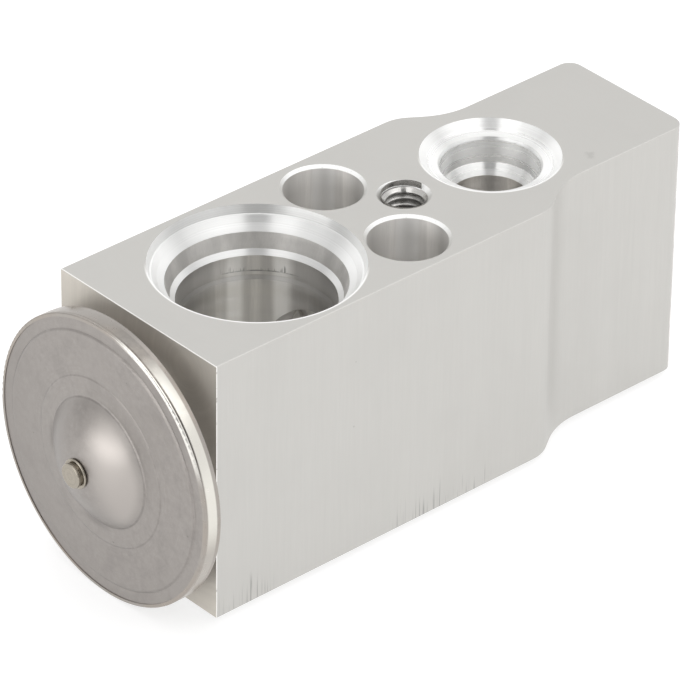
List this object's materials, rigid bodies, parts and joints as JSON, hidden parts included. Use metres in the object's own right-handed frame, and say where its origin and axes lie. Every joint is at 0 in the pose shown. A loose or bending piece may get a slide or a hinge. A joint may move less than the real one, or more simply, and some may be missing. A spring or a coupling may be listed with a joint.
{
  "type": "thermostatic expansion valve",
  "caption": "Block-type thermostatic expansion valve: drilled aluminium block with suction and liquid ports, a round diaphragm head at one end and an adjusting screw at the other.",
  "frame": {"origin": "midway between the two mounting screw holes, on the evaporator-side face", "axes": "+Z through the block to the pipe-side face, +X along the valve axis from the diaphragm head to the adjusting screw, Y = 0 the plane of symmetry"},
  "size_m": [0.0961, 0.0398, 0.0398],
  "materials": {
    "block_aluminium": "satin extruded, with machined ports",
    "neck_steel": "turned",
    "cover_steel": "satin pressed sheet",
    "sheet_steel": "bright rolled sheet",
    "weld_steel": "smooth bright bead",
    "plug_nickel": "bright plated",
    "seal_rubber": "matte",
    "rod_aluminium": "turned",
    "rod_steel": "ground",
    "ball_steel": "polished",
    "carrier_steel": "turned",
    "spring_steel": "drawn wire",
    "screw_brass": "turned",
    "sleeve_plastic": "moulded"
  },
  "bodies": {
    "valve_body": {"valve_block": "block_aluminium", "threaded_neck": "neck_steel", "lower_cover": "cover_steel", "diaphragm": "sheet_steel", "upper_cover": "cover_steel", "rim_weld": "weld_steel", "charge_plug": "plug_nickel", "head_seal": "seal_rubber", "rod_seal": "seal_rubber", "seal_retainer": "sheet_steel"},
    "lift_train": {"diaphragm_stop": "rod_aluminium", "sensing_rod": "rod_aluminium", "sensing_sleeve": "sleeve_plastic", "push_rod": "rod_steel", "valve_ball": "ball_steel", "ball_carrier": "carrier_steel", "damper_clip": "sheet_steel", "superheat_spring": "spring_steel"},
    "screw_travel": {"adjuster_seal": "seal_rubber"},
    "screw_turn": {"adjusting_screw": "screw_brass"}
  },
  "joints": [
    {"name": "valve_lift", "type": "slide", "parent": "valve_body", "child": "lift_train", "axis": [1, 0, 0], "range_m": [0, 0.0008], "stiffness_N_per_m": 4000, "springref_m": -0.002, "deforming": ["superheat_spring", "diaphragm"]},
    {"name": "adjuster_travel", "type": "slide", "parent": "valve_body", "child": "screw_travel", "axis": [1, 0, 0], "range_m": [-0.001, 0.001], "deforming": ["superheat_spring"]},
    {"name": "adjuster_turn", "type": "hinge", "parent": "screw_travel", "child": "screw_turn", "pos_m": [0.04, 0, 0.019], "axis": [1, 0, 0], "range_deg": [-360, 360]}
  ],
  "couplings": [
    {"joint": "adjuster_turn", "follows": "adjuster_travel", "rad_per_m": 6283.2}
  ]
}
